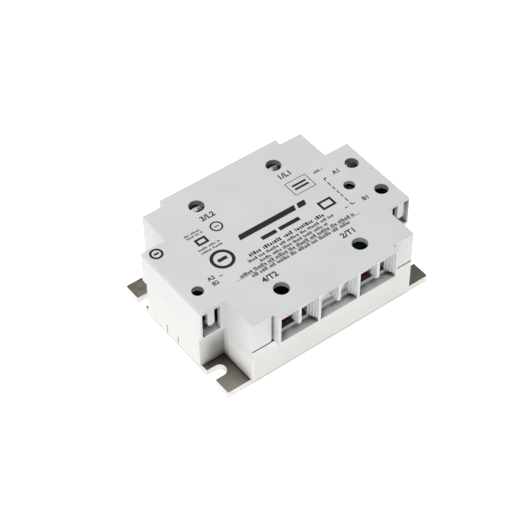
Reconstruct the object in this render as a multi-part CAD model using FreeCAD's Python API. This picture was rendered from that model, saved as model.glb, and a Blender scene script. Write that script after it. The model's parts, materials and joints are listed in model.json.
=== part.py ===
import FreeCAD, Part
import math
import os

# Two-leg, three-phase-size panel-mount solid state relay.
# Millimetres. +Z up, origin on the mounting face under the middle of the relay.
# X runs from the A2 end (-X) to the A1/B1 end (+X). Mains lines L enter at +Y, loads T leave at -Y.

V = FreeCAD.Vector

# ---- driving dimensions -------------------------------------------------------------------
PLATE_X = 48.8              # half length of the base plate
PLATE_Y = 33.7              # half width of the base plate
PLATE_T = 3.0
SLOT_Y = 22.95              # centre line of the open mounting slots
SLOT_W = 5.5                # slot width, for M5 screws
SLOT_END_X = 44.8           # centre of the slot's round inner end

TOP_Z = 34.6                # top face of the cover
SEAM_Z = 20.0               # underside of the cover's wall
SEAM_GAP = 0.4              # open groove between the cover and the lower housing
WALL = 1.6

COVER_MID = (38.5, 34.9)    # half sizes of the cover's middle block
COVER_END = (50.0, 19.2)    # half sizes of the cover's end blocks
BODY_MID = (38.3, 35.1)     # the same for the lower housing
BODY_END = (49.7, 17.1)

FRAME_X = 28.4              # half length of each three-bay wire entry frame
FRAME_Y = 38.0              # its front face
FRAME_FOOT_Z = 19.2
RELIEF = (1.2, 0.9, 33.6)   # upright groove beside each frame: width, depth and top
LIP_PLAY = 0.1
BAY_PITCH = 18.6
BAY_W = 17.4
SILL_Z = 20.6               # floor of a bay
BAY_DEPTH = 3.7
BAY_ROOF_Z = 33.8
FRAME_BACK_Y = 32.0         # inner face of the frame
RISER_Z = 22.8              # top of the low wall behind a bay's floor
FUNNEL = ((37.1, 8.7), (36.2, 8.1), (35.3, 7.5), (34.3, 6.9))   # inner |y| and half width of each step
FUNNEL_FOOT = 1.5           # clear height left under the steps
WINDOW_X = 6.2              # half width of the opening from a live bay to its terminal
WINDOW_TOP_Z = 27.8
BLANK_STEP = 1.1            # how far a blank bay's panel lies behind its low wall
BLANK_CORNER_R = 3.4        # rounding at the upper corner of each half of a blank bay
TONGUE_W = 1.2
TONGUE_Z = 24.9             # lower end of the rib that splits a bay

POWER_X = 18.65             # power terminal screws
POWER_Y = 26.7
POWER_HOLE_R = 3.2
CONTROL_X = 43.9            # control terminal screws
CONTROL_Y = 9.1
CONTROL_HOLE_R = 2.85
A2_HOLE_R = 2.4
LED_X = 35.3
LED_HOLE_R = 2.4
CONTROL_TUBE_Z = 32.2       # lower end of the screwdriver tubes over the control screws
POWER_COLLAR_Z = 32.4       # lower end of the collars around the power screwdriver holes

CONTROL_BAY = (41.2, 49.2)  # wire entry in an end block, from |x| to |x|
CONTROL_SILL_Z = 21.3
CONTROL_ROOF_Z = 33.4
CONTROL_TONGUE = (43.8, 46.8)
CONTROL_TONGUE_Z = 25.8
RIM_R = 0.35                # rounding of the cover's top edge
SOFT_END_R = 1.2            # the two end edges are rounder

SHELF_Z = 20.9              # top of the shelves that carry the terminals
SHELF_BASE_Z = 9.0
SHELF_HOLE_Z = 9.8          # bottom of the blind hole under a nut
POWER_SHELF = (8.5, 21.0, 31.9)     # half width along X, and from |y| to |y|
CONTROL_SHELF = (3.9, 4.2, 15.3)
POWER_NUT = (4.0, 4.0)      # half side and height of the square nuts
CONTROL_NUT = (3.0, 2.6)
NUT_PLAY = 0.1
TIP_PLAY = (0.4, 0.25)      # radial room around a power and a control screw's tip in its blind hole
BAR_T = 1.5                 # power terminal strip
BAR_Z = SHELF_Z + BAR_T
POWER_LIFT = 0.4            # how far the wire clamps stand open at rest
CLAMP = (7.2, 4.2, 1.2)     # half sizes and thickness of a power pressure plate
CARRIER = (5.4, 1.2)        # half width of a clamp carrier, and its height above the plate
CARRIER_Y = (2.0, 5.0)      # where it starts and ends outwards of the screw
CARRIER_HEAD_R = 5.2        # room for the screw's head
HEAD_R = 4.3
HEAD_H = 3.2
SCREW_R = 2.5               # M5
POWER_SHANK = 12.0
CONTROL_BAR_T = 1.2
CONTROL_BAR_Z = SHELF_Z + CONTROL_BAR_T
CONTROL_LIFT = 1.5
CONTROL_CLAMP = (3.6, 3.4, 1.0)
CONTROL_HEAD_R = 3.0
CONTROL_HEAD_H = 2.4
CONTROL_SCREW_R = 1.75      # M3.5
CONTROL_SHANK = 9.0
THREAD_PLAY = 0.06          # radial play drawn between a screw and its nut

CERAMIC = (13.0, 17.5, 0.64)    # half sizes and thickness of a substrate
COPPER_T = 0.3
CHIP = 4.0                  # half side of a thyristor chip
CHIP_T = 0.4
CHIP_X = 5.5                # where the two chips of a leg sit on their substrate
CHIP_Y = 7.0
GEL_Z = 7.0

BOARD = (36.0, 17.5)        # half sizes of the circuit board
BOARD_Z = 16.0
BOARD_T = 1.6
BOARD_TOP = BOARD_Z + BOARD_T

PADS_Z = PLATE_T + CERAMIC[2]
CHIPS_Z = PADS_Z + COPPER_T
LEGS = {"1": POWER_X, "2": -POWER_X}
POWER = {
    "l1": (POWER_X, POWER_Y),
    "l2": (-POWER_X, POWER_Y),
    "t1": (POWER_X, -POWER_Y),
    "t2": (-POWER_X, -POWER_Y),
}
CONTROL = {
    "a1": (CONTROL_X, CONTROL_Y),
    "b1": (CONTROL_X, -CONTROL_Y),
    "a2": (-CONTROL_X, -CONTROL_Y),
}


# ---- helpers ------------------------------------------------------------------------------
def box(x0, x1, y0, y1, z0, z1):
    """Box between two corners, whichever way round the limits are given."""
    lo = V(min(x0, x1), min(y0, y1), min(z0, z1))
    return Part.makeBox(abs(x1 - x0), abs(y1 - y0), abs(z1 - z0), lo)


def rod(x, y, z0, z1, radius):
    """Upright cylinder."""
    return Part.makeCylinder(radius, z1 - z0, V(x, y, z0))


def rod_y(x, z, y0, y1, radius):
    """Level cylinder along Y."""
    return Part.makeCylinder(radius, abs(y1 - y0), V(x, min(y0, y1), z), V(0, 1, 0))


def join(shapes):
    """One clean solid from overlapping or touching shapes."""
    first, *rest = shapes
    return first.fuse(rest).removeSplitter() if rest else first


def group(shapes):
    return Part.makeCompound(shapes)


def cross(mid, end, inset, z0, z1):
    """The relay's cross-shaped plan, inset on every side, between two heights."""
    middle = box(-mid[0] + inset, mid[0] - inset, -mid[1] + inset, mid[1] - inset, z0, z1)
    ends = box(-end[0] + inset, end[0] - inset, -end[1] + inset, end[1] - inset, z0, z1)
    return join([middle, ends])


def is_upright(edge):
    ends = [v.Point for v in edge.Vertexes]
    return len(ends) == 2 and abs(ends[0].x - ends[1].x) + abs(ends[0].y - ends[1].y) < 1e-6


def round_upright(shape, radius, keep=lambda point: True):
    """Fillet the upright edges whose middle point passes the test."""
    edges = [e for e in shape.Edges if is_upright(e) and keep(e.CenterOfMass)]
    return shape.makeFillet(radius, edges)


def round_rim(shape, z, radius):
    """Fillet the edges that lie at one height."""
    edges = [e for e in shape.Edges if all(abs(v.Point.z - z) < 1e-6 for v in e.Vertexes)]
    return shape.makeFillet(radius, edges)


def strip(points, width, x_mid):
    """Bent metal strip: a closed YZ outline pushed out along X about x_mid."""
    corners = [V(x_mid - width / 2, y, z) for y, z in points]
    face = Part.Face(Part.makePolygon(corners + corners[:1]))
    return face.extrude(V(width, 0, 0))


def save(name, shape):
    shape.exportStep(os.path.join("parts", name + ".step"))


# ---- base plate ---------------------------------------------------------------------------
def base_plate():
    plate = box(-PLATE_X, PLATE_X, -PLATE_Y, PLATE_Y, 0, PLATE_T)
    plate = round_upright(plate, 0.6)
    slots = []
    for side in (-1, 1):
        for end in (-1, 1):
            y = side * SLOT_Y
            slots.append(rod(end * SLOT_END_X, y, 0, PLATE_T, SLOT_W / 2))
            slots.append(box(end * SLOT_END_X, end * (PLATE_X + 1), y - SLOT_W / 2, y + SLOT_W / 2,
                             0, PLATE_T))
    return plate.cut(slots)


# ---- lower housing ------------------------------------------------------------------------
def terminal_shelf(x, y, size, wall_y):
    """Block under one terminal: a shelf at SHELF_Z, tied to the outer wall below the seam."""
    half_x, inner, outer = size
    side = math.copysign(1, y)
    shelf = box(x - half_x, x + half_x, side * inner, side * outer, SHELF_BASE_Z, SHELF_Z)
    foot = box(x - half_x, x + half_x, side * outer, side * wall_y, SHELF_BASE_Z, SEAM_Z - SEAM_GAP)
    return join([shelf, foot])


def nut_well(x, y, nut, tip_r):
    """Square nut pocket under the strip, with a blind hole for the screw's tip."""
    half, height = nut
    room = half + NUT_PLAY
    pocket = box(x - room, x + room, y - room, y + room, SHELF_Z - height, SHELF_Z)
    return pocket.fuse(rod(x, y, SHELF_HOLE_Z, SHELF_Z - height, tip_r))


def snap_slits():
    """Pairs of saw cuts that leave a springy tab at the foot of each end wall."""
    cuts = []
    for end in (-1, 1):
        for y in (4.0, -3.1):
            cuts.append(box(end * (BODY_END[0] - WALL), end * BODY_END[0], y - 0.25, y + 0.25,
                            PLATE_T, 7.6))
    return cuts


def locating_lips():
    """Upstanding lips inside the wall that centre the cover."""
    lips = []
    top = 21.0
    root_top = SEAM_Z - SEAM_GAP
    end_in = BODY_END[0] - WALL
    side_in = min(COVER_MID[0], BODY_MID[0]) - WALL - LIP_PLAY
    front_in = min(COVER_MID[1], BODY_MID[1]) - WALL - LIP_PLAY
    for sx in (-1, 1):
        lips.append(box(sx * (end_in - 0.8), sx * end_in, -3.0, 3.0, 16.0, top))
        for sy in (-1, 1):
            lips.append(box(sx * (side_in - 0.8), sx * side_in, sy * 21.0, sy * 31.0, 16.0, top))
            lips.append(box(sx * side_in, sx * (BODY_MID[0] - WALL), sy * 21.0, sy * 31.0, 16.0, root_top))
            lips.append(box(sx * 30.0, sx * 34.0, sy * (front_in - 0.8), sy * front_in, 16.0, top))
            lips.append(box(sx * 30.0, sx * 34.0, sy * front_in, sy * (BODY_MID[1] - WALL), 16.0, root_top))
    return lips


def board_ledges():
    """Four ledges under the corners of the circuit board."""
    inner = BODY_MID[0] - WALL
    return [box(sx * (BOARD[0] - 2.0), sx * inner, sy * (BODY_END[1] - WALL), sy * 19.0, 10.0, BOARD_Z)
            for sx in (-1, 1) for sy in (-1, 1)]


def lower_housing():
    rim = SEAM_Z - SEAM_GAP
    outer = cross(BODY_MID, BODY_END, 0, PLATE_T, rim)
    outer = round_upright(outer, 0.5)
    shell = outer.cut(cross(BODY_MID, BODY_END, WALL, PLATE_T, rim))
    adds = board_ledges() + locating_lips()
    wells = []
    for x, y in POWER.values():
        adds.append(terminal_shelf(x, y, POWER_SHELF, BODY_MID[1] - WALL))
        wells.append(nut_well(x, y, POWER_NUT, SCREW_R + TIP_PLAY[0]))
    for x, y in CONTROL.values():
        adds.append(terminal_shelf(x, y, CONTROL_SHELF, BODY_END[1] - WALL))
        wells.append(nut_well(x, y, CONTROL_NUT, CONTROL_SCREW_R + TIP_PLAY[1]))
    return join([shell] + adds).cut(wells + snap_slits())


# ---- top cover ----------------------------------------------------------------------------
def soft_ended_slab(radius):
    """Long slab whose two upper end edges are rounded, used to soften the cover's ends."""
    x = COVER_END[0]
    low = FRAME_FOOT_Z - 1
    dx = radius * (1 - math.cos(math.pi / 4))
    points = [V(-x, -FRAME_Y - 1, TOP_Z - radius), V(-x + dx, -FRAME_Y - 1, TOP_Z - dx),
              V(-x + radius, -FRAME_Y - 1, TOP_Z)]
    mirror = [V(-p.x, p.y, p.z) for p in reversed(points)]
    edges = [Part.LineSegment(V(-x, -FRAME_Y - 1, low), points[0]).toShape(),
             Part.Arc(*points).toShape(),
             Part.LineSegment(points[2], mirror[0]).toShape(),
             Part.Arc(*mirror).toShape(),
             Part.LineSegment(mirror[2], V(x, -FRAME_Y - 1, low)).toShape(),
             Part.LineSegment(V(x, -FRAME_Y - 1, low), V(-x, -FRAME_Y - 1, low)).toShape()]
    return Part.Face(Part.Wire(edges)).extrude(V(0, 2 * FRAME_Y + 2, 0))


def cover_blank():
    """Outside of the cover as one solid block with its rounded edges."""
    block = cross(COVER_MID, COVER_END, 0, SEAM_Z, TOP_Z)
    frames = box(-FRAME_X, FRAME_X, -FRAME_Y, FRAME_Y, SEAM_Z, TOP_Z)
    block = round_upright(join([block, frames]), 0.4)
    return round_rim(block, TOP_Z, RIM_R).common(soft_ended_slab(SOFT_END_R))


def frame_foot(side):
    """The part of a wire entry frame that hangs just below the seam, outside the housing."""
    inner = BODY_MID[1] + 0.1
    return box(-FRAME_X, FRAME_X, side * inner, side * FRAME_Y, FRAME_FOOT_Z, SEAM_Z)


def frame_wall(side):
    """Solid backing of the three bays, inside the cover's wall."""
    return box(-FRAME_X, FRAME_X, side * FRAME_BACK_Y, side * (FRAME_Y - 1), SEAM_Z, TOP_Z - 0.5)


def frame_relief(end, side):
    """Upright groove in the cover's wall beside one end of a frame."""
    width, depth, top = RELIEF
    wall_y = COVER_MID[1]
    return box(end * FRAME_X, end * (FRAME_X + width), side * (wall_y - depth), side * (wall_y + 1),
               SEAM_Z, top)


def bay_cut(x, side, live):
    """One bay: side walls stepped like a funnel, then a window if live or a sunk panel if blank."""
    floor_y = FRAME_Y - BAY_DEPTH
    mouth_y = FRAME_Y + 1
    cuts = [box(x - BAY_W / 2, x + BAY_W / 2, side * floor_y, side * mouth_y,
                SILL_Z, SILL_Z + FUNNEL_FOOT)]
    for inner, half in FUNNEL:
        cuts.append(box(x - half, x + half, side * inner, side * mouth_y, SILL_Z, BAY_ROOF_Z))
    if live:
        cuts.append(box(x - WINDOW_X, x + WINDOW_X, side * (FRAME_BACK_Y - 1), side * floor_y,
                        RISER_Z, WINDOW_TOP_Z))
    else:
        half = FUNNEL[-1][1]
        cuts.append(box(x - half, x + half, side * (floor_y - BLANK_STEP), side * floor_y,
                        RISER_Z, BAY_ROOF_Z))
    return join(cuts)


def bay_tongue(x, side):
    """Rib that hangs in the middle of a bay and keeps the two wires apart."""
    back = FRAME_BACK_Y
    rib = box(x - TONGUE_W / 2, x + TONGUE_W / 2, side * back, side * FRAME_Y, TONGUE_Z,
              BAY_ROOF_Z + 0.2)
    foot = [e for e in rib.Edges
            if abs(e.CenterOfMass.z - TONGUE_Z) < 1e-6 and abs(abs(e.CenterOfMass.y) - FRAME_Y) < 1e-6]
    return rib.makeFillet(1.0, foot)


def blank_fill(x, side):
    """Closed middle bay: small webs round off the upper corner of each half."""
    floor_y = FRAME_Y - BAY_DEPTH
    r = BLANK_CORNER_R
    webs = []
    for left in (x - BAY_W / 2, x + TONGUE_W / 2):
        web = box(left - 0.3, left + r, side * floor_y, side * (FRAME_Y - 0.1), BAY_ROOF_Z - r,
                  BAY_ROOF_Z + 0.3)
        hollow = rod_y(left + r, BAY_ROOF_Z - r, side * (floor_y - 1), side * (FRAME_Y + 1), r)
        webs.append(web.cut(hollow))
    return webs


def control_window(end, side):
    """Wire entry of a control terminal, with its hanging round-nosed guard left in place."""
    x0, x1 = sorted(end * x for x in CONTROL_BAY)
    hole = box(x0, x1, side * (COVER_END[1] - WALL - 0.5), side * (COVER_END[1] + 0.5),
               CONTROL_SILL_Z, CONTROL_ROOF_Z)
    t0, t1 = sorted(end * x for x in CONTROL_TONGUE)
    r = (t1 - t0) / 2
    guard = box(t0, t1, side * (COVER_END[1] - WALL - 1), side * (COVER_END[1] + 1),
                CONTROL_TONGUE_Z + r, CONTROL_ROOF_Z + 0.1)
    nose = rod_y(t0 + r, CONTROL_TONGUE_Z + r, side * (COVER_END[1] - WALL - 1),
                 side * (COVER_END[1] + 1), r)
    return hole.cut([guard, nose])


def top_cover():
    room = cross(COVER_MID, COVER_END, WALL, SEAM_Z, TOP_Z - WALL)
    shell = cover_blank().cut(room)
    flange = cross(COVER_MID, COVER_END, 0.8, SEAM_Z, CONTROL_SILL_Z)
    flange = flange.cut(cross(BODY_MID, BODY_END, WALL - 0.1, SEAM_Z, CONTROL_SILL_Z))
    adds = [flange]
    for x, y in CONTROL.values():
        adds.append(rod(x, y, CONTROL_TUBE_Z, TOP_Z - 0.5, CONTROL_HOLE_R + 0.9))
    adds += [frame_wall(side) for side in (-1, 1)] + [frame_foot(side) for side in (-1, 1)]
    for x, y in POWER.values():
        adds.append(rod(x, y, POWER_COLLAR_Z, TOP_Z - 0.5, POWER_HOLE_R + 1.0))
    solid = join([shell] + adds)
    cuts = [rod(LED_X, 0, TOP_Z - WALL, TOP_Z, LED_HOLE_R)]
    for name, (x, y) in CONTROL.items():
        radius = A2_HOLE_R if name == "a2" else CONTROL_HOLE_R
        cuts.append(rod(x, y, CONTROL_TUBE_Z, TOP_Z, radius))
        cuts.append(control_window(math.copysign(1, x), math.copysign(1, y)))
    cuts += [rod(x, y, POWER_COLLAR_Z, TOP_Z, POWER_HOLE_R) for x, y in POWER.values()]
    ribs = []
    for side in (-1, 1):
        cuts += [frame_relief(end, side) for end in (-1, 1)]
        for x in (-BAY_PITCH, 0, BAY_PITCH):
            cuts.append(bay_cut(x, side, live=x != 0))
            ribs.append(bay_tongue(x, side))
        ribs += blank_fill(0, side)
    return join([solid.cut(cuts)] + ribs)


# ---- power terminals ----------------------------------------------------------------------
def power_bar(x, y):
    """Tinned copper strip from the wire clamp, down a leg, to its foot on the copper pad."""
    s = math.copysign(1, y)
    tip, bend, foot = 31.2, 21.0, 13.2
    outline = [(s * tip, SHELF_Z), (s * tip, BAR_Z), (s * (bend - BAR_T), BAR_Z),
               (s * (bend - BAR_T), CHIPS_Z + BAR_T), (s * foot, CHIPS_Z + BAR_T),
               (s * foot, CHIPS_Z), (s * bend, CHIPS_Z), (s * bend, SHELF_Z)]
    bar = strip(outline, 11.0, x)
    sides = [box(x + e * 4.0, x + e * 6.0, s * (foot - 1), s * (bend + 0.01), CHIPS_Z - 1, SHELF_Z - 2)
             for e in (-1, 1)]
    return bar.cut(sides + [rod(x, y, SHELF_Z - 1, BAR_Z + 1, SCREW_R + 0.25)])


def square_nut(x, y, size, bore_r):
    """Nut under a terminal strip, its thread drawn as a plain bore."""
    half, height = size
    nut = box(x - half, x + half, y - half, y + half, SHELF_Z - height, SHELF_Z)
    return nut.cut(rod(x, y, SHELF_Z - height, SHELF_Z, bore_r))


def cross_screw(x, y, under_head, head_r, head_h, shank_r, shank):
    """Pan-head screw with a crossed recess, standing on under_head."""
    head = rod(x, y, under_head, under_head + head_h, head_r)
    rim = [e for e in head.Edges if abs(e.CenterOfMass.z - under_head - head_h) < 1e-6
           and abs(e.BoundBox.ZLength) < 1e-6]
    head = head.makeFillet(head_h * 0.35, rim)
    body = rod(x, y, under_head - shank, under_head, shank_r)
    tip = [e for e in body.Edges if abs(e.CenterOfMass.z - under_head + shank) < 1e-6
           and abs(e.BoundBox.ZLength) < 1e-6]
    body = body.makeChamfer(0.5, tip)
    half_w = head_r * 0.13
    half_l = head_r * 0.62
    floor = under_head + head_h * 0.4
    top = under_head + head_h + 1
    recess = [box(x - half_l, x + half_l, y - half_w, y + half_w, floor, top),
              box(x - half_w, x + half_w, y - half_l, y + half_l, floor, top)]
    return join([head, body]).cut(recess)


def power_clamp(x, y):
    """Steel pressure plate with two shallow grip grooves over the wires."""
    half_x, half_y, thick = CLAMP
    z = BAR_Z + POWER_LIFT
    plate = box(x - half_x, x + half_x, y - half_y, y + half_y, z, z + thick)
    grooves = [box(x - 8, x + 8, y + e * 2.6 - 0.4, y + e * 2.6 + 0.4, z, z + 0.25) for e in (-1, 1)]
    hole = rod(x, y, z - 1, z + thick + 1, SCREW_R + 0.1)
    return round_upright(plate, 0.8).cut(grooves + [hole])


def clamp_carrier(x, y):
    """Red insulating clip along the outer edge of the plate, open in the middle for the head."""
    half_x, above = CARRIER
    plate_x, plate_y, thick = CLAMP
    s = math.copysign(1, y)
    z = BAR_Z + POWER_LIFT
    top = z + thick + above
    body = box(x - half_x, x + half_x, y + s * CARRIER_Y[0], y + s * CARRIER_Y[1], z + 0.05, top)
    body = round_upright(body, 0.5)
    seat = box(x - plate_x, x + plate_x, y - plate_y, y + plate_y, z, z + thick)
    head_room = rod(x, y, z + thick, top + 1, CARRIER_HEAD_R)
    return body.cut([seat, head_room])


# ---- control terminals --------------------------------------------------------------------
def control_bar(x, y):
    """Tinned strip from a control clamp to the circuit board."""
    end = math.copysign(1, x)
    side = math.copysign(1, y)
    tab = box(x - 3.8, x + 3.8, side * 4.6, side * 15.3, SHELF_Z, CONTROL_BAR_Z)
    reach = box(x - end * 3.8, end * 33.6, side * 4.6, side * 8.6, SHELF_Z, CONTROL_BAR_Z)
    drop = box(end * 33.6, end * (33.6 + CONTROL_BAR_T), side * 4.6, side * 8.6, BOARD_TOP, SHELF_Z)
    hole = rod(x, y, SHELF_Z - 1, CONTROL_BAR_Z + 1, CONTROL_SCREW_R + 0.2)
    return join([tab, reach, drop]).cut(hole)


def control_clamp(x, y):
    """Small pressure plate with one grip groove."""
    half_x, half_y, thick = CONTROL_CLAMP
    z = CONTROL_BAR_Z + CONTROL_LIFT
    plate = round_upright(box(x - half_x, x + half_x, y - half_y, y + half_y, z, z + thick), 0.6)
    groove = box(x - 4, x + 4, y - 2.5, y - 1.9, z, z + 0.2)
    return plate.cut([groove, rod(x, y, z - 1, z + thick + 1, CONTROL_SCREW_R + 0.1)])


# ---- power semiconductors -----------------------------------------------------------------
def substrate(x):
    return box(x - CERAMIC[0], x + CERAMIC[0], -CERAMIC[1], CERAMIC[1], PLATE_T, PADS_Z)


def pads(x):
    """Line and load copper areas of one substrate."""
    return group([box(x - 11.5, x + 11.5, s * 0.8, s * 16.5, PADS_Z, CHIPS_Z) for s in (-1, 1)])


def chip(x, side):
    """One thyristor of a back-to-back pair."""
    cx = x - side * CHIP_X
    cy = side * CHIP_Y
    return box(cx - CHIP, cx + CHIP, cy - CHIP, cy + CHIP, CHIPS_Z, CHIPS_Z + CHIP_T)


def jumper(x, side):
    """Copper clip from the top of one thyristor, over the gap, to the opposite pad."""
    t = 0.6
    low = CHIPS_Z + CHIP_T
    s = side
    outline = [(s * 10.0, low), (s * 10.0, low + t), (s * 2.2, low + t), (s * 1.2, low + 1.4),
               (s * -1.2, low + 1.4), (s * -1.8, CHIPS_Z + t), (s * -4.5, CHIPS_Z + t),
               (s * -4.5, CHIPS_Z), (s * -1.2, CHIPS_Z), (s * -0.8, low + 0.8),
               (s * 0.8, low + 0.8), (s * 2.0, low)]
    return strip(outline, 5.0, x - side * CHIP_X)


def gate_pin(x, side):
    """Sprung pin from the circuit board to a thyristor's gate."""
    cx = x - side * CHIP_X + side * 3.2
    return rod(cx, side * (CHIP_Y + 3.2), CHIPS_Z + CHIP_T, BOARD_Z, 0.35)


def silicone_gel(holders):
    """Soft gel cast over both substrates, flowing round everything that stands on them."""
    slabs = []
    for x in LEGS.values():
        slab = box(x - 15.5, x + 15.5, -19.3, 19.3, PLATE_T, GEL_Z)
        slabs.append(slab.cut(holders))
    return group(slabs)


# ---- circuit board ------------------------------------------------------------------------
def circuit_board():
    board = box(-BOARD[0], BOARD[0], -BOARD[1], BOARD[1], BOARD_Z, BOARD_TOP)
    return round_upright(board, 1.0)


def dip_package(x, y, size_x, size_y, height, legs):
    """Moulded package on a row of legs each side."""
    body = box(x - size_x / 2, x + size_x / 2, y - size_y / 2, y + size_y / 2,
               BOARD_TOP + 0.5, BOARD_TOP + 0.5 + height)
    pitch = 2.54
    parts = [body]
    for side in (-1, 1):
        for i in range(legs):
            lx = x + (i - (legs - 1) / 2) * pitch
            edge = y + side * size_y / 2
            parts.append(box(lx - 0.35, lx + 0.35, edge - side * 0.3, edge + side * 0.8,
                             BOARD_TOP, BOARD_TOP + 1.6))
    return join(parts)


def lens_led(x, y):
    """Indicator on a tall base: collar, lens with a round top, and two leads."""
    base_top = BOARD_TOP + 8.0
    r = 1.5
    lens_top = 31.0
    collar = rod(x, y, base_top, base_top + 1.0, 1.9)
    barrel = rod(x, y, base_top, lens_top - r, r)
    dome = Part.makeSphere(r, V(x, y, lens_top - r))
    leads = [box(x - 0.25, x + 0.25, y + e * 1.27 - 0.25, y + e * 1.27 + 0.25, BOARD_TOP, base_top)
             for e in (-1, 1)]
    return join([collar, barrel, dome] + leads)


def box_capacitor(x, y):
    """Snubber film capacitor: a potted box with bevelled edges."""
    case = box(x - 6.5, x + 6.5, y - 2.5, y + 2.5, BOARD_TOP, BOARD_TOP + 10.0)
    return case.makeFillet(0.6, case.Edges)


def power_resistor(x, y):
    """Snubber resistor lying on the board between bent leads."""
    z = BOARD_TOP + 2.4
    body = Part.makeCylinder(2.0, 11.0, V(x - 5.5, y, z), V(1, 0, 0))
    rims = [e for e in body.Edges if abs(e.BoundBox.XLength) < 1e-6]
    body = body.makeFillet(0.6, rims)
    wire = Part.makeCylinder(0.4, 14.0, V(x - 7.0, y, z), V(1, 0, 0))
    legs = [rod(x + e * 6.6, y, BOARD_TOP, z, 0.4) for e in (-1, 1)]
    return join([body, wire] + legs)


def disc_varistor(x, y):
    """Surge varistor: a lacquered disc standing on two leads."""
    z = BOARD_TOP + 7.5
    disc = Part.makeCylinder(5.2, 3.4, V(x, y - 1.7, z), V(0, 1, 0))
    rims = [e for e in disc.Edges if abs(e.BoundBox.YLength) < 1e-6]
    disc = disc.makeFillet(1.2, rims)
    leads = [rod(x + e * 2.5, y, BOARD_TOP, z - 3.0, 0.4) for e in (-1, 1)]
    return join([disc] + leads)


def control_transistor(x, y):
    """Small D-section transistor of the input current limiter."""
    z = BOARD_TOP + 3.0
    case = rod(x, y, z, z + 4.6, 2.4).cut(box(x - 3, x + 3, y + 1.3, y + 3, z - 1, z + 6))
    legs = [box(x + i * 1.27 - 0.2, x + i * 1.27 + 0.2, y - 0.2, y + 0.2, BOARD_TOP, z)
            for i in (-1, 0, 1)]
    return join([case] + legs)


def chip_resistors():
    """Surface-mount resistors along the control side of the board."""
    return group([box(20.0 + 3.2 * i, 22.0 + 3.2 * i, 13.4, 14.7, BOARD_TOP, BOARD_TOP + 0.55)
                  for i in range(4)])


# ---- assembly -----------------------------------------------------------------------------
def build():
    parts = {"base_plate": base_plate(), "lower_housing": lower_housing(), "top_cover": top_cover()}
    in_gel = []
    for leg, x in LEGS.items():
        parts["ceramic_substrate_" + leg] = substrate(x)
        parts["copper_pads_" + leg] = pads(x)
        parts["thyristor_chip_" + leg + "a"] = chip(x, 1)
        parts["thyristor_chip_" + leg + "b"] = chip(x, -1)
        parts["jumper_clips_" + leg] = group([jumper(x, side) for side in (-1, 1)])
        in_gel += [parts["ceramic_substrate_" + leg]] + parts["copper_pads_" + leg].Solids
        in_gel += [chip(x, side) for side in (-1, 1)]
        in_gel += [jumper(x, side) for side in (-1, 1)]
    pins = [gate_pin(x, side) for x in LEGS.values() for side in (-1, 1)]
    parts["gate_pins"] = group(pins)
    in_gel += pins

    for name, (x, y) in POWER.items():
        head_z = BAR_Z + POWER_LIFT + CLAMP[2]
        parts["terminal_bar_" + name] = power_bar(x, y)
        parts["power_clamp_" + name] = power_clamp(x, y)
        parts["clamp_carrier_" + name] = clamp_carrier(x, y)
        parts["power_screw_" + name] = cross_screw(x, y, head_z, HEAD_R, HEAD_H, SCREW_R, POWER_SHANK)
        in_gel.append(parts["terminal_bar_" + name])
    parts["power_terminal_nuts"] = group(
        [square_nut(x, y, POWER_NUT, SCREW_R + THREAD_PLAY) for x, y in POWER.values()])

    for name, (x, y) in CONTROL.items():
        head_z = CONTROL_BAR_Z + CONTROL_LIFT + CONTROL_CLAMP[2]
        parts["control_bar_" + name] = control_bar(x, y)
        parts["control_clamp_" + name] = control_clamp(x, y)
        parts["control_screw_" + name] = cross_screw(x, y, head_z, CONTROL_HEAD_R, CONTROL_HEAD_H,
                                                     CONTROL_SCREW_R, CONTROL_SHANK)
    parts["control_terminal_nuts"] = group(
        [square_nut(x, y, CONTROL_NUT, CONTROL_SCREW_R + THREAD_PLAY) for x, y in CONTROL.values()])

    parts["silicone_gel"] = silicone_gel(in_gel)
    parts["circuit_board"] = circuit_board()
    for leg, x in LEGS.items():
        parts["trigger_optocoupler_" + leg] = dip_package(x, 0.0, 8.8, 6.4, 3.4, 3)
        parts["snubber_capacitor_" + leg] = box_capacitor(x, -9.5)
        parts["snubber_resistor_" + leg] = power_resistor(x, -14.5)
        parts["surge_varistor_" + leg] = disc_varistor(x - 3.0, 9.5)
    parts["status_led"] = lens_led(LED_X - 0.4, 0.0)
    parts["control_transistor"] = control_transistor(0.0, 12.0)
    parts["input_rectifier"] = dip_package(0.0, 0.0, 6.6, 6.4, 3.2, 2)
    parts["chip_resistors"] = chip_resistors()
    return parts


def main():
    os.makedirs("parts", exist_ok=True)
    for name, shape in build().items():
        save(name, shape)


main()
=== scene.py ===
import json
import math
from typing import NamedTuple

import bmesh
import bpy
from mathutils import Matrix, Vector


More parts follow.
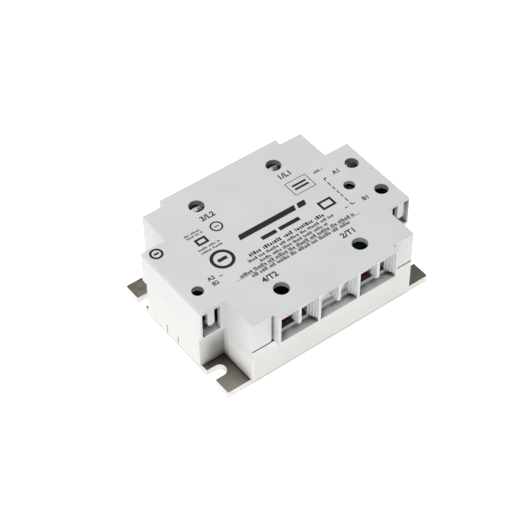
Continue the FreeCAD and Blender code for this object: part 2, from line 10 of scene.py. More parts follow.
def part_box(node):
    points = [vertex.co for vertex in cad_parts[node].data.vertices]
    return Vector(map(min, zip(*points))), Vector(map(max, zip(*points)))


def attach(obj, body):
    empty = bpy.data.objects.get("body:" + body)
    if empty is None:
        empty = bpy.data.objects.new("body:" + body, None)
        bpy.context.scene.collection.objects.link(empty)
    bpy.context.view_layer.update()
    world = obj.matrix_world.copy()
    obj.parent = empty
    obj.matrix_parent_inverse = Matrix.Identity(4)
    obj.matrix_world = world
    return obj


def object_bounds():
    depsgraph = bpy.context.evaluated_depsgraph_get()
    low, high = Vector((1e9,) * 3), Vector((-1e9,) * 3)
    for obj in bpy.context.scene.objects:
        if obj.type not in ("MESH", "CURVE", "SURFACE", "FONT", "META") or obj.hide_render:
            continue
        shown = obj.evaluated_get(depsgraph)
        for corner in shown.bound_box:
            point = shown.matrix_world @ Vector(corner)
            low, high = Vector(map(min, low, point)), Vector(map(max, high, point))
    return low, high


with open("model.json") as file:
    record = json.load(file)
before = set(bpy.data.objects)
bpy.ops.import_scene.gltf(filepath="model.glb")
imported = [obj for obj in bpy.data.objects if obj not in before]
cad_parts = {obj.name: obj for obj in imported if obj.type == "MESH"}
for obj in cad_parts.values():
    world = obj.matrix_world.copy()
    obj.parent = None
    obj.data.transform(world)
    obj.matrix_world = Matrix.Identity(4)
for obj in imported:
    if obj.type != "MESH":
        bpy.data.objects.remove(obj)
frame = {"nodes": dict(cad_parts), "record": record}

cad_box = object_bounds()
MM = 0.001


def add_object(name, data):
    """Puts new data in the scene as an object at the origin."""
    holder = bpy.data.objects.new(name, data)
    bpy.context.scene.collection.objects.link(holder)
    return holder


# ---- shader helpers -------------------------------------------------------------------------
MIX_COLOURS = (6, 7)    # the Mix node's two colour inputs, among its inputs for every kind of data
MIX_RESULT = 2          # and its colour output
FADE = 0.2              # mm over which a place's edge fades, unless it says otherwise


class Tone(NamedTuple):
    """A colour for one place, given by its spans along X, Y and Z as Shader.within takes them."""

    x: tuple
    y: tuple
    z: tuple
    colour: tuple


class Shader:
    """A small wrapper that builds one procedural material around a Principled BSDF."""

    def __init__(self, name, **values):
        self.material = bpy.data.materials.new(name)
        self.material.use_nodes = True
        self.tree = self.material.node_tree
        self.tree.nodes.clear()
        self.bsdf = self.new("BsdfPrincipled")
        output = self.new("OutputMaterial")
        self.link(self.bsdf.outputs["BSDF"], output.inputs["Surface"])
        self.coords = self.new("TexCoord").outputs["Object"]
        for key, value in values.items():
            self.bsdf.inputs[key.replace("_", " ")].default_value = value

    def new(self, kind):
        return self.tree.nodes.new("ShaderNode" + kind)

    def link(self, a, b):
        self.tree.links.new(a, b)

    def put(self, socket, value):
        """Sets a socket to a plain value or links it to another socket."""
        if isinstance(value, bpy.types.NodeSocket):
            self.link(value, socket)
        else:
            socket.default_value = value

    def stretch(self, x, y, z):
        """Object coordinates in metres, scaled along each axis."""
        node = self.new("Mapping")
        node.inputs["Scale"].default_value = (x, y, z)
        self.link(self.coords, node.inputs["Vector"])
        return node.outputs["Vector"]

    def noise(self, size_mm, detail=2.0, roughness=0.5, vector=None):
        """Noise from 0 to 1 whose blotches are about size_mm across."""
        node = self.new("TexNoise")
        node.inputs["Scale"].default_value = 1.0 / (size_mm * MM)
        node.inputs["Detail"].default_value = detail
        node.inputs["Roughness"].default_value = roughness
        self.link(vector or self.coords, node.inputs["Vector"])
        return node.outputs["Fac"]

    def cell_edges(self, size_mm):
        """Distance from the nearest border between irregular cells about size_mm across."""
        node = self.new("TexVoronoi")
        node.feature = "DISTANCE_TO_EDGE"
        node.inputs["Scale"].default_value = 1.0 / (size_mm * MM)
        self.link(self.coords, node.inputs["Vector"])
        return node.outputs["Distance"]

    def maths(self, operation, *values):
        node = self.new("Math")
        node.operation = operation
        for socket, value in zip(node.inputs, values):
            self.put(socket, value)
        return node.outputs["Value"]

    def product(self, first, *others):
        for other in others:
            first = self.maths("MULTIPLY", first, other)
        return first

    def span(self, value, low, high, to_low=0.0, to_high=1.0):
        """Maps low..high onto to_low..to_high, smoothly and without going past either end."""
        node = self.new("MapRange")
        node.interpolation_type = "SMOOTHSTEP"
        for socket, part in zip(node.inputs, (value, low, high, to_low, to_high)):
            self.put(socket, part)
        return node.outputs["Result"]

    def blend(self, factor, a, b, kind="MIX"):
        """Colour a where factor is 0, and b, or a times b for MULTIPLY, where it is 1."""
        node = self.new("Mix")
        node.data_type = "RGBA"
        node.blend_type = kind
        self.link(factor, node.inputs["Factor"])
        for index, colour in zip(MIX_COLOURS, (a, b)):
            self.put(node.inputs[index], (*colour, 1.0) if isinstance(colour, tuple) else colour)
        return node.outputs[MIX_RESULT]

    def along(self, axis, vector):
        node = self.new("SeparateXYZ")
        self.link(vector, node.inputs["Vector"])
        return node.outputs[axis]

    def up(self):
        """How far the surface faces up: 1 on a top face, 0 on a wall, -1 underneath."""
        return self.along("Z", self.new("TexCoord").outputs["Normal"])

    def place(self, axis):
        """Position along an axis at rest, in millimetres."""
        return self.maths("MULTIPLY", self.along(axis, self.coords), 1.0 / MM)

    def openness(self, reach_mm, own_part=True):
        """1 where the surface lies open, falling towards 0 in corners, slots and holes."""
        node = self.new("AmbientOcclusion")
        node.samples = 12
        node.only_local = own_part
        node.inputs["Distance"].default_value = reach_mm * MM
        return node.outputs["AO"]

    def within(self, axis, low, high, both_sides=True, soft=FADE):
        """1 where the place along an axis lies between two values in mm, fading to 0 over soft.

        With both_sides it holds for the mirrored place too.
        """
        place = self.place(axis)
        if both_sides:
            place = self.maths("ABSOLUTE", place)
        return self.product(self.span(place, low - soft, low),
                            self.span(place, high, high + soft, 1.0, 0.0))

    def inside(self, tone):
        """1 inside a tone's three spans."""
        return self.product(self.within("X", *tone.x), self.within("Y", *tone.y),
                            self.within("Z", *tone.z))

    def colour(self, value):
        self.link(value, self.bsdf.inputs["Base Color"])

    def roughness(self, value):
        self.link(value, self.bsdf.inputs["Roughness"])

    def bump(self, height, depth_mm, strength=1.0):
        """Adds a relief depth_mm deep on top of any relief already there."""
        node = self.new("Bump")
        node.inputs["Distance"].default_value = depth_mm * MM
        node.inputs["Strength"].default_value = strength
        self.link(height, node.inputs["Height"])
        links = self.bsdf.inputs["Normal"].links
        if links:
            self.link(links[0].from_socket, node.inputs["Normal"])
        self.link(node.outputs["Normal"], self.bsdf.inputs["Normal"])


def shaded(colour, red, green, blue):
    """A colour with each channel scaled to a share of itself."""
    return colour[0] * red, colour[1] * green, colour[2] * blue


# ---- materials ------------------------------------------------------------------------------
FLOW_SHADE = (0.97, 0.97, 0.97)     # share of each colour channel left in the moulding's flow marks
SPECK_SHADE = (0.94, 0.94, 0.94)    # the same in its specks
UNDER_DUST_AND_SHADE = (0.120, 0.115, 0.105)  # and under thick dust and painted shade
LEVEL_DUST_AND_SHADE = 0.28                   # a level face takes dust and painted shade as if it lay this much less open


def moulded(name, colour, dust_and_shade, rough=0.48, depth=0.012, reach=5.0, own_part=True, shade_and_light_tones=(),
            shade_and_light_factors=()):
    """Spark-eroded moulded plastic: fine pebble grain, faint flow mottling, uneven gloss.

    The dust-and-shade amount lays grey dust, and painted shade with it, in corners and holes up
    to reach mm deep, and own_part says that only the part's own walls make them. The places of
    painted shade and light in the argument after own_part replace the colour there, and those in
    the last argument multiply it.
    """
    s = Shader(name, Specular_IOR_Level=0.4)
    flow = s.noise(16.0, detail=3.0)
    speck = s.noise(1.4)
    base = s.blend(s.span(flow, 0.35, 0.65), shaded(colour, *FLOW_SHADE), colour)
    base = s.blend(s.span(speck, 0.62, 0.78, 0.0, 0.35), base, shaded(colour, *SPECK_SHADE))
    # Grey dust and painted shade: darker in corners and holes, and more on level faces.
    uneven = s.maths("ADD", s.openness(reach, own_part),
                     s.span(s.noise(2.5, detail=4.0), 0.3, 0.7, -0.06, 0.06))
    level = s.span(s.up(), 0.5, 0.9, 0.0, LEVEL_DUST_AND_SHADE)
    dust_and_shade_mask = s.span(s.maths("SUBTRACT", uneven, level), 0.02, 0.62, dust_and_shade, 0.0)
    base = s.blend(dust_and_shade_mask, base, shaded(colour, *UNDER_DUST_AND_SHADE))
    for kind, places in (("MIX", shade_and_light_tones), ("MULTIPLY", shade_and_light_factors)):
        for tone in places:
            base = s.blend(s.inside(tone), base, tone.colour, kind)
    s.colour(base)
    s.roughness(s.span(s.noise(5.0, detail=4.0), 0.3, 0.7, rough - 0.06, rough + 0.07))
    s.bump(s.noise(0.22, detail=3.0, roughness=0.6), depth)
    s.bump(flow, 0.05, strength=0.35)
    return s.material


def rolled_plate():
    """Base plate: dull rolled faces with a fine lengthwise grain, brighter sawn edges; the dark
    faces and bright edges are partly painted reflection.

    It has painted shade towards the housing that stands on it, and a painted contact shadow,
    darkest in the joint.
    """
    s = Shader("rolled_plate", Metallic=1.0)
    grain = s.noise(0.16, detail=4.0, roughness=0.7, vector=s.stretch(0.06, 1.0, 1.0))
    cloud = s.noise(9.0, detail=4.0)
    face = s.blend(s.span(grain, 0.3, 0.7), (0.235, 0.215, 0.185), (0.31, 0.285, 0.245))
    face = s.blend(s.span(cloud, 0.35, 0.75, 0.0, 0.5), face, (0.35, 0.325, 0.28))
    # Painted shade near the housing's walls, and a painted contact shadow in the joint.
    shade_near_wall = s.span(s.openness(9.0, own_part=False), 0.35, 0.95, 0.75, 0.0)
    face = s.blend(shade_near_wall, face, (0.055, 0.048, 0.038))
    shadow_in_joint = s.span(s.openness(1.6, own_part=False), 0.45, 0.9, 0.9, 0.0)
    face = s.blend(shadow_in_joint, face, (0.012, 0.011, 0.009))
    # Sawn edges lighter than the rolled faces: real sawn metal, and partly a painted highlight for
    # the bright reflection they take, while the faces' dark colour is partly a painted dark
    # reflection.
    is_edge = s.span(s.maths("ABSOLUTE", s.up()), 0.35, 0.8, 1.0, 0.0)
    sawn_edge_and_highlight = s.blend(s.span(grain, 0.2, 0.8), (0.50, 0.49, 0.46), (0.64, 0.63, 0.60))
    s.colour(s.blend(is_edge, face, sawn_edge_and_highlight))
    s.roughness(s.span(s.noise(2.5, detail=5.0), 0.3, 0.7, 0.36, 0.52))
    s.bump(grain, 0.012)
    return s.material


def plated(name, light, dark, rough=0.28, thread=None):
    """Plated sheet or turned metal. thread is (pitch, height of the underside of the head) in mm."""
    s = Shader(name, Metallic=1.0)
    stain = s.noise(2.2, detail=5.0, roughness=0.65)
    s.colour(s.blend(s.span(stain, 0.35, 0.7), light, dark))
    s.roughness(s.span(s.noise(0.7, detail=3.0), 0.3, 0.7, rough - 0.07, rough + 0.10))
    s.bump(s.noise(0.12), 0.006)
    if thread:
        pitch, head = thread
        z = s.place("Z")
        wave = s.maths("SINE", s.maths("MULTIPLY", z, 2.0 * math.pi / pitch))
        on_shank = s.span(z, head - 1.2, head - 0.8, 1.0, 0.0)
        on_side = s.span(s.maths("ABSOLUTE", s.up()), 0.2, 0.5, 1.0, 0.0)
        s.bump(s.product(wave, on_shank, on_side), 0.16)
    return s.material


def blackened_screw(name, pitch, clamp):
    """Blackened steel with a thread below the head, which stands on the named clamp."""
    return plated(name, (0.060, 0.060, 0.064), (0.034, 0.033, 0.034), rough=0.40,
                  thread=(pitch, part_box(clamp)[1].z / MM))


def glossy(name, light, dark, rough=0.3, size=1.5, coat=0.0):
    """Lacquered, dipped or glazed small parts."""
    s = Shader(name, Coat_Weight=coat, Coat_Roughness=0.12)
    blot = s.noise(size, detail=4.0, roughness=0.6)
    s.colour(s.blend(s.span(blot, 0.35, 0.68), light, dark))
    s.roughness(s.span(s.noise(size * 0.4, detail=3.0), 0.3, 0.7, rough - 0.08, rough + 0.08))
    s.bump(s.noise(0.25), 0.01)
    return s.material


def laminate():
    """Circuit board: woven glass showing through green solder mask, with paler copper tracks."""
    s = Shader("board_laminate", Coat_Weight=0.25, Coat_Roughness=0.2)
    warp = s.maths("SINE", s.noise(0.9, detail=0.0, vector=s.stretch(1.0, 0.25, 1.0)))
    weft = s.maths("SINE", s.noise(0.9, detail=0.0, vector=s.stretch(0.25, 1.0, 1.0)))
    weave = s.maths("MULTIPLY", warp, weft)
    mask = s.blend(s.span(weave, 0.1, 0.35), (0.015, 0.12, 0.055), (0.025, 0.17, 0.08))
    tracks = s.span(s.cell_edges(4.5), 0.05, 0.07, 1.0, 0.0)
    s.colour(s.blend(tracks, mask, (0.04, 0.22, 0.10)))
    s.roughness(s.span(s.noise(3.0), 0.3, 0.7, 0.32, 0.45))
    s.bump(tracks, 0.03)
    s.bump(weave, 0.01)
    return s.material


def clear_gel():
    """Cast silicone: cloudy, soft, with a faint skin."""
    s = Shader("silicone_gel", Transmission_Weight=0.55, IOR=1.41)
    cloud = s.noise(3.0, detail=4.0)
    s.colour(s.blend(s.span(cloud, 0.3, 0.7), (0.80, 0.84, 0.86), (0.90, 0.92, 0.93)))
    s.roughness(s.span(cloud, 0.3, 0.7, 0.10, 0.22))
    s.bump(s.noise(4.0, detail=1.0), 0.15)
    return s.material


def lens():
    """Tinted indicator lens: water-clear epoxy over a pale cup."""
    s = Shader("led_lens", Transmission_Weight=0.35, IOR=1.5)
    s.colour(s.blend(s.span(s.noise(0.9), 0.3, 0.7), (0.33, 0.42, 0.30), (0.50, 0.56, 0.44)))
    s.roughness(s.span(s.noise(0.5), 0.3, 0.7, 0.10, 0.22))
    s.bump(s.noise(0.6), 0.01)
    return s.material


def ink():
    """Pad-printed ink: slightly uneven cover, with pinholes where the grain shows through."""
    s = Shader("print_ink", Specular_IOR_Level=0.3)
    cover = s.noise(0.5, detail=4.0, roughness=0.7)
    pinholes = s.span(s.noise(0.14, detail=1.0), 0.70, 0.80)
    solid = s.blend(s.span(cover, 0.3, 0.75), (0.014, 0.0145, 0.0165), (0.028, 0.0285, 0.031))
    s.colour(s.blend(pinholes, solid, (0.20, 0.205, 0.21)))
    s.roughness(s.span(cover, 0.3, 0.7, 0.42, 0.58))
    s.bump(cover, 0.006)
    return s.material


# Places with painted shade or painted light in the plastic's colour. Spans are in mm from the
# relay's middle and its mounting face, for both sides of the relay unless False follows them, and
# a last number is the width of the fade.
LIVE_BAY = (12.0, 25.3)     # X of the windows at the back of the live bays
END_BLOCK_WALL = (16.9, 17.3)       # Y of the wall under a control window
MIDDLE_BLOCK_WALL = (-38.5, -38.1)  # X of the middle block's left wall
COVER_SHADE_AND_LIGHT = {
    # Painted shade in the window reveals and on their sills.
    "window reveals": Tone(LIVE_BAY, (32.2, 34.0), (23.3, 27.9), (0.34, 0.335, 0.325)),
    "sills of the windows": Tone(LIVE_BAY, (30.0, 34.0), (21.5, 23.3), (0.11, 0.105, 0.095)),
    # The ledges of the blank bays take a lighter painted shade than the corner shade around them.
    "ledges of the blank bays": Tone((0.0, 6.9), (33.1, 34.2), (22.7, 24.0), (0.66, 0.66, 0.65)),
    # Painted shade inside the end walls and down the walls of the control and line holes.
    "inside of the end walls": Tone((48.3, 48.5), (0.0, 20.0), (21.0, 32.9), (0.05, 0.05, 0.048)),
    "control holes": Tone((41.0, 46.8), (6.2, 12.0), (32.0, 34.1), (0.38, 0.385, 0.39)),
    "line holes": Tone((15.3, 22.0), (23.3, 30.1, False), (29.0, 34.0), (0.50, 0.505, 0.51)),
    # Painted light: the floors of the two line bays, lit almost white.
    "line bay floors": Tone((11.5, 25.8), (34.5, 38.1, False), (20.3, 20.8), (0.90, 0.90, 0.90)),
}
HOUSING_SHADE = {
    # Painted shade: the inside of the housing around the terminal shelves, dark as if unlit.
    "inner shelf": Tone((0.0, 36.0), (19.0, 33.4), (8.0, 25.0), (0.045, 0.044, 0.042)),
}
HOUSING_SHADE_AND_LIGHT_FACTORS = {
    # Painted shade in the inner corners of the left notches, strongest near the plate.
    "inner corners of the left notches": Tone(
        (-42.0, -38.4, False, 8.0), END_BLOCK_WALL, (3.0, 9.0, True, 11.0), (0.50, 0.50, 0.50)),
    # Painted light: the foot of the middle block's left wall made lighter.
    "foot of the middle block's left wall": Tone(
        (*MIDDLE_BLOCK_WALL, False), (20.0, 35.0), (5.0, 12.0, True, 5.0), (1.17, 1.17, 1.17)),
}
MATERIALS = {
    "plate_metal": rolled_plate(),
    "housing_plastic": moulded(
        "housing_plastic", (0.80, 0.80, 0.785), dust_and_shade=0.9, reach=7.0, own_part=False,
        shade_and_light_tones=HOUSING_SHADE.values(), shade_and_light_factors=HOUSING_SHADE_AND_LIGHT_FACTORS.values()),
    "cover_plastic": moulded(
        "cover_plastic", (0.785, 0.797, 0.803), dust_and_shade=0.95, shade_and_light_tones=COVER_SHADE_AND_LIGHT.values()),
    "ceramic": glossy("ceramic", (0.82, 0.82, 0.79), (0.74, 0.74, 0.71), rough=0.6, size=0.6),
    "bare_copper": plated("bare_copper", (0.80, 0.42, 0.27), (0.60, 0.30, 0.19), rough=0.34),
    "silicon": glossy("silicon", (0.10, 0.11, 0.13), (0.16, 0.17, 0.20), rough=0.18, coat=0.3),
    "tinned_copper": plated(
        "tinned_copper", (0.36, 0.35, 0.335), (0.24, 0.23, 0.215), rough=0.42),
    "zinc_steel": plated("zinc_steel", (0.64, 0.65, 0.67), (0.48, 0.49, 0.50)),
    "red_plastic": moulded(
        "red_plastic", (0.36, 0.012, 0.014), dust_and_shade=0.6, rough=0.40, depth=0.006, reach=2.0),
    "gold_pin": plated("gold_pin", (0.83, 0.62, 0.25), (0.70, 0.50, 0.19), rough=0.22),
    "silicone": clear_gel(),
    "board_laminate": laminate(),
    "black_epoxy": glossy(
        "black_epoxy", (0.022, 0.022, 0.025), (0.035, 0.035, 0.038), rough=0.55, size=0.5),
    "capacitor_case": glossy(
        "capacitor_case", (0.72, 0.40, 0.04), (0.62, 0.33, 0.03), rough=0.33),
    "resistor_lacquer": glossy(
        "resistor_lacquer", (0.22, 0.34, 0.30), (0.17, 0.27, 0.24), rough=0.4),
    "varistor_lacquer": glossy(
        "varistor_lacquer", (0.03, 0.09, 0.32), (0.02, 0.06, 0.24), coat=0.4),
    "led_lens": lens(),
}
SCREW_MATERIALS = {
    "power_screw": blackened_screw("dark_power_screw", 0.8, "power_clamp_l1"),
    "control_screw": blackened_screw("dark_control_screw", 0.6, "control_clamp_a1"),
}


def dress_nodes():
    """Gives every CAD node its material: the screws one by their kind, the rest by record slot."""
    slots = {row["node"]: row["material_slot"] for row in frame["record"]["subparts"]}
    for name, node in frame["nodes"].items():
        kind = name.rsplit("_", 1)[0]
        node.data.materials.clear()
        node.data.materials.append(SCREW_MATERIALS.get(kind) or MATERIALS[slots[name]])


dress_nodes()


# ---- print on the cover ---------------------------------------------------------------------
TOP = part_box("top_cover")[1].z
INK_THICKNESS = 0.04 * MM       # half of it stands proud of the cover
INK_LOW = TOP - INK_THICKNESS / 2
INK_HIGH = TOP + INK_THICKNESS / 2
INK = ink()
RING_STEPS = 64

# A fine-print line's strokes take these widths, heights and gaps, as shares of the line's height.
STROKE_WIDTHS = (0.34, 0.5, 0.26, 0.42)
STROKE_HEIGHTS = (0.72, 1.0, 0.66, 0.8, 0.95)
STROKE_GAP = 0.2
WORD_GAP = 0.6
LINE_END = 0.3                  # mm; a line starts no stroke this close to its end


def printed_piece(name, bm):
    """Makes gathered marks one printed piece of the cover."""
    mesh = bpy.data.meshes.new(name)
    bm.to_mesh(mesh)
    bm.free()
    mesh.materials.append(INK)
    piece = add_object(name, mesh)
    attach(piece, "housing")


class Print:
    """Flat printed marks gathered into thin closed meshes on the cover's top face. Sizes in mm."""

    def __init__(self):
        self.bm = bmesh.new()

    def corners(self, points, z):
        return [self.bm.verts.new((x * MM, y * MM, z)) for x, y in points]

    def outline(self, points):
        """One filled shape, its corners anticlockwise."""
        low = self.corners(points, INK_LOW)
        high = self.corners(points, INK_HIGH)
        self.bm.faces.new(high)
        self.bm.faces.new(low[::-1])
        for i in range(len(points)):
            j = (i + 1) % len(points)
            self.bm.faces.new((low[i], low[j], high[j], high[i]))

    def bar(self, x0, x1, y0, y1, slant=0.0):
        self.outline([(x0, y0), (x1, y0), (x1 + slant, y1), (x0 + slant, y1)])

    def band(self, outer, inner):
        """The strip between two outlines, their corners anticlockwise and as many on each."""
        outer_low, outer_high, inner_low, inner_high = (
            self.corners(points, z) for points in (outer, inner) for z in (INK_LOW, INK_HIGH))
        for i in range(len(outer)):
            j = (i + 1) % len(outer)
            self.bm.faces.new((outer_high[i], outer_high[j], inner_high[j], inner_high[i]))
            self.bm.faces.new((outer_low[j], outer_low[i], inner_low[i], inner_low[j]))
            self.bm.faces.new((outer_low[i], outer_low[j], outer_high[j], outer_high[i]))
            self.bm.faces.new((inner_low[j], inner_low[i], inner_high[i], inner_high[j]))

    def ring(self, x, y, outer, inner):
        turns = [2.0 * math.pi * i / RING_STEPS for i in range(RING_STEPS)]
        self.band(*([(x + r * math.cos(t), y + r * math.sin(t)) for t in turns]
                    for r in (outer, inner)))

    def ring_with_bar(self, x, y, outer, inner, half_long, half_thick):
        self.ring(x, y, outer, inner)
        self.bar(x - half_long, x + half_long, y - half_thick, y + half_thick)

    def frame(self, x0, x1, y0, y1, line):
        self.band(*([(x0 + d, y0 + d), (x1 - d, y0 + d), (x1 - d, y1 - d), (x0 + d, y1 - d)]
                    for d in (0.0, line)))

    def bracket_ends(self, x, end, leg, arm, line):
        """Two L-shaped corners that open towards +X, one at y = end and one at -end."""
        right, inner, foot, inside = x + arm, x + line, end - leg, end - line
        self.outline([(x, foot), (inner, foot), (inner, inside), (right, inside), (right, end),
                      (x, end)])
        self.outline([(x, -end), (right, -end), (right, -inside), (inner, -inside),
                      (inner, -foot), (x, -foot)])

    def small_print(self, x0, x1, y, tall, seed, pace=1.0):
        """A line of fine print, shown only as a broken row of short upright strokes.

        seed shifts the pattern, and pace under 1 packs the strokes closer together.
        """
        x = x0
        i = seed
        left_in_word = 4 + i % 5
        while x < x1 - LINE_END:
            wide = STROKE_WIDTHS[i * 7 % len(STROKE_WIDTHS)] * tall * pace
            high = STROKE_HEIGHTS[i * 3 % len(STROKE_HEIGHTS)] * tall
            self.bar(x, min(x + wide, x1), y - tall / 2, y - tall / 2 + high)
            x += wide + STROKE_GAP * tall * pace
            left_in_word -= 1
            if left_in_word == 0:
                x += WORD_GAP * tall * pace
                left_in_word = 3 + i % 6
            i += 1

    def finish(self, name):
        printed_piece(name, self.bm)


# Generic terminal numbers: text, the screw it belongs to, its place from the screw in X and Y, and
# its height, in mm.
TERMINAL_MARKS = (
    ("3/L2", "power_screw_l2", 0.1, -7.0, 2.5),
    ("1/L1", "power_screw_l1", 0.1, -7.0, 2.5),
    ("4/T2", "power_screw_t2", 0.1, 7.0, 2.5),
    ("2/T1", "power_screw_t1", 0.1, 7.0, 2.5),
    ("A1", "control_screw_a1", -7.9, 0.0, 2.0),
    ("B1", "control_screw_b1", -7.9, 0.0, 2.0),
    ("A2", "control_screw_a2", 7.6, 2.0, 1.8),
    ("B2", "control_screw_a2", 7.6, -0.9, 1.8),
)
CAPITAL_SHARE = 0.69    # height of a capital over the built-in face's size
BOLD_SHARE = 0.045      # how far each edge is moved out, over the capital's height
WELD = 1e-7             # metres; closer points are one


def terminal_mark(text, x, y, tall):
    """A mesh of one mark in the plain built-in face, made bold and flat."""
    curve = bpy.data.curves.new("mark", "FONT")
    curve.body = text
    curve.align_x = "CENTER"
    curve.align_y = "CENTER"
    curve.size = tall * MM / CAPITAL_SHARE
    curve.bevel_depth = BOLD_SHARE * tall * MM
    curve.bevel_resolution = 0
    curve.extrude = INK_THICKNESS
    holder = add_object("mark", curve)
    bpy.context.view_layer.update()
    solid = holder.evaluated_get(bpy.context.evaluated_depsgraph_get())
    mesh = bpy.data.meshes.new_from_object(solid)
    mesh.transform(Matrix.Translation((x * MM, y * MM, 0.0)))
    for vertex in mesh.vertices:
        vertex.co.z = INK_HIGH if vertex.co.z > 0.0 else INK_LOW
    bpy.data.objects.remove(holder)
    return mesh


def terminal_marks():
    """Terminal designations beside the holes they belong to."""
    bm = bmesh.new()
    for text, screw, x_off, y_off, tall in TERMINAL_MARKS:
        low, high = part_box(screw)
        middle = (low + high) / 2 / MM
        mesh = terminal_mark(text, middle.x + x_off, middle.y + y_off, tall)
        bm.from_mesh(mesh)
        bpy.data.meshes.remove(mesh)
    bmesh.ops.remove_doubles(bm, verts=bm.verts, dist=WELD)
    bmesh.ops.dissolve_degenerate(bm, edges=bm.edges, dist=WELD)
    printed_piece("print_terminal_marks", bm)


NAME_LINE = (1.9, 4.6)      # Y of the heavy slanted bars, which lean by NAME_SLANT
NAME_SLANT = 0.9
TYPE_LINE = (-3.2, -1.3)    # Y of the two bars under them
# Lines of fine print: left end, right end, Y of the middle, height and pace, in mm.
FINE_PRINT = (
    (-18.1, 17.9, -6.3, 1.85, 1.0),
    (-20.3, 20.4, -8.7, 1.5, 0.8),
    (-16.4, 15.8, -10.9, 1.5, 0.8),
    (-27.4, 26.9, -13.0, 1.75, 0.7),
    (-23.5, 22.9, -15.3, 1.75, 0.7),
    (-32.3, -24.6, 15.9, 0.95, 1.0),
    (-32.0, -24.9, 14.4, 0.95, 1.0),
    (-32.0, -22.4, 6.9, 1.05, 1.0),
    (-32.0, -21.6, 5.1, 1.05, 1.0),
    (28.4, 33.0, 13.8, 1.3, 1.0),
)
RULE = (-29.9, 29.4, -14.25, -14.1)     # the thin line between two of them


def text_lines():
    """Plain bars and rows of strokes where a maker prints a name, a type and ratings."""
    p = Print()
    p.bar(-16.2, 10.6, *NAME_LINE, slant=NAME_SLANT)
    p.bar(11.8, 15.6, *NAME_LINE, slant=NAME_SLANT)
    p.bar(-9.2, -2.2, *TYPE_LINE)
    p.bar(-0.9, 8.9, *TYPE_LINE)
    for number, (x0, x1, y, tall, pace) in enumerate(FINE_PRINT, start=1):
        p.small_print(x0, x1, y, tall, seed=number, pace=pace)
    p.bar(*RULE)
    p.finish("print_text_lines")


BRACKET_X = 29.3            # the dashed bracket beside the control terminals
BRACKET_LINE = 0.45
BRACKET_DASHES = ((4.2, 6.4), (1.6, 3.4), (-1.0, 0.8), (-3.4, -1.6), (-6.4, -4.2))


def symbols():
    """Plain shapes in the places of approval marks and pictograms."""
    p = Print()
    p.ring_with_bar(-45.3, 15.4, 2.75, 1.8, 1.1, 0.45)
    p.ring_with_bar(-27.1, -1.7, 4.9, 3.5, 2.1, 0.8)
    p.ring_with_bar(-18.9, 13.4, 2.65, 1.95, 1.1, 0.25)
    p.frame(-30.4, -25.4, 8.7, 12.4, line=1.0)
    p.frame(18.8, 25.3, -4.8, -0.1, line=1.05)
    p.frame(15.3, 25.4, 8.0, 15.6, line=0.3)
    for y in (12.3, 10.3):
        p.bar(17.0, 23.7, y, y + 1.0)
    p.bracket_ends(BRACKET_X, end=8.9, leg=1.5, arm=1.7, line=BRACKET_LINE)
    for y0, y1 in BRACKET_DASHES:
        p.bar(BRACKET_X, BRACKET_X + BRACKET_LINE, y0, y1)
    p.bar(-33.3, -31.7, -8.4, -8.0)
    p.bar(26.0, 27.5, -8.9, -8.5)
    p.finish("print_symbols")


terminal_marks()
text_lines()
symbols()


# ---- studio ---------------------------------------------------------------------------------
FLOOR_HALF = 1.6            # metres
FLOOR_DROP = 0.2 * MM       # the floor lies this far below the plate, so that the two don't meet
WORLD_STRENGTH = 0.12
LAMP_SIDE = 1.0             # metres
LAMP_POWER = 12.6           # watts
LAMP_DISTANCE = 1.2         # metres
LAMP_ANGLES = (-110.0, 80.0)            # azimuth and elevation in degrees; azimuth 0 is at -Y
VIEW_ANGLES = (-36.746, 46.878, -0.439)  # azimuth, elevation and roll in degrees
VIEW_DISTANCE = 0.67026     # metres from the point looked at
VIEW_LENS = 122.12          # focal length in mm, on a sensor SENSOR_WIDTH wide
SENSOR_WIDTH = 36.0
AIM_RIGHT = -8.575 * MM     # the point looked at, from the middle of the relay
AIM_UP = 0.388 * MM


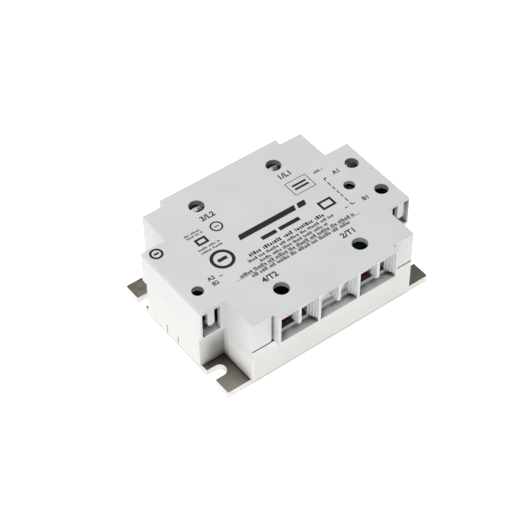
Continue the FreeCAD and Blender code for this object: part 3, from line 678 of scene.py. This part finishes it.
def studio_floor():
    """Large pale light table under the relay."""
    bm = bmesh.new()
    bm.faces.new([bm.verts.new((x * FLOOR_HALF, y * FLOOR_HALF, -FLOOR_DROP))
                  for x, y in ((-1, -1), (1, -1), (1, 1), (-1, 1))])
    mesh = bpy.data.meshes.new("studio_floor")
    bm.to_mesh(mesh)
    bm.free()
    s = Shader("studio_floor", Roughness=0.9, Specular_IOR_Level=0.1, Emission_Strength=0.98,
               Emission_Color=(1.0, 0.99, 0.965, 1.0))
    s.colour(s.blend(s.span(s.noise(60.0), 0.3, 0.7), (0.86, 0.86, 0.86), (0.88, 0.88, 0.88)))
    mesh.materials.append(s.material)
    add_object("studio_floor", mesh)


def studio_light():
    """Faint white surroundings and one large soft lamp, almost overhead."""
    world = bpy.data.worlds.new("studio_world")
    world.use_nodes = True
    background = world.node_tree.nodes["Background"]
    background.inputs["Color"].default_value = (1.0, 1.0, 1.0, 1.0)
    background.inputs["Strength"].default_value = WORLD_STRENGTH
    bpy.context.scene.world = world
    lamp = bpy.data.lights.new("soft_box", "AREA")
    lamp.shape = "RECTANGLE"
    lamp.size = LAMP_SIDE
    lamp.size_y = LAMP_SIDE
    lamp.energy = LAMP_POWER
    holder = add_object("soft_box", lamp)
    azimuth, elevation = (math.radians(angle) for angle in LAMP_ANGLES)
    direction = Vector((math.sin(azimuth), -math.cos(azimuth), math.tan(elevation)))
    holder.location = direction.normalized() * LAMP_DISTANCE
    holder.rotation_euler = direction.to_track_quat("Z", "Y").to_euler()


def studio_camera():
    """Long lens, high on the left of the load side, turned a hair about its own axis."""
    azimuth, elevation, roll = (math.radians(angle) for angle in VIEW_ANGLES)
    back = Vector((math.sin(azimuth) * math.cos(elevation),
                   -math.cos(azimuth) * math.cos(elevation), math.sin(elevation)))
    right = Vector((math.cos(azimuth), math.sin(azimuth), 0.0))
    up = back.cross(right)
    look_at = Vector((0.0, 0.0, cad_box[1][2] / 2)) + right * AIM_RIGHT + up * AIM_UP
    camera = bpy.data.cameras.new("studio_camera")
    camera.lens = VIEW_LENS
    camera.sensor_width = SENSOR_WIDTH
    holder = add_object("studio_camera", camera)
    turn = Matrix((right, up, back)).transposed() @ Matrix.Rotation(roll, 3, "Z")
    holder.matrix_world = Matrix.Translation(look_at + back * VIEW_DISTANCE) @ turn.to_4x4()
    bpy.context.scene.camera = holder


studio_floor()
studio_light()
studio_camera()
bpy.context.scene.view_settings.view_transform = "Standard"
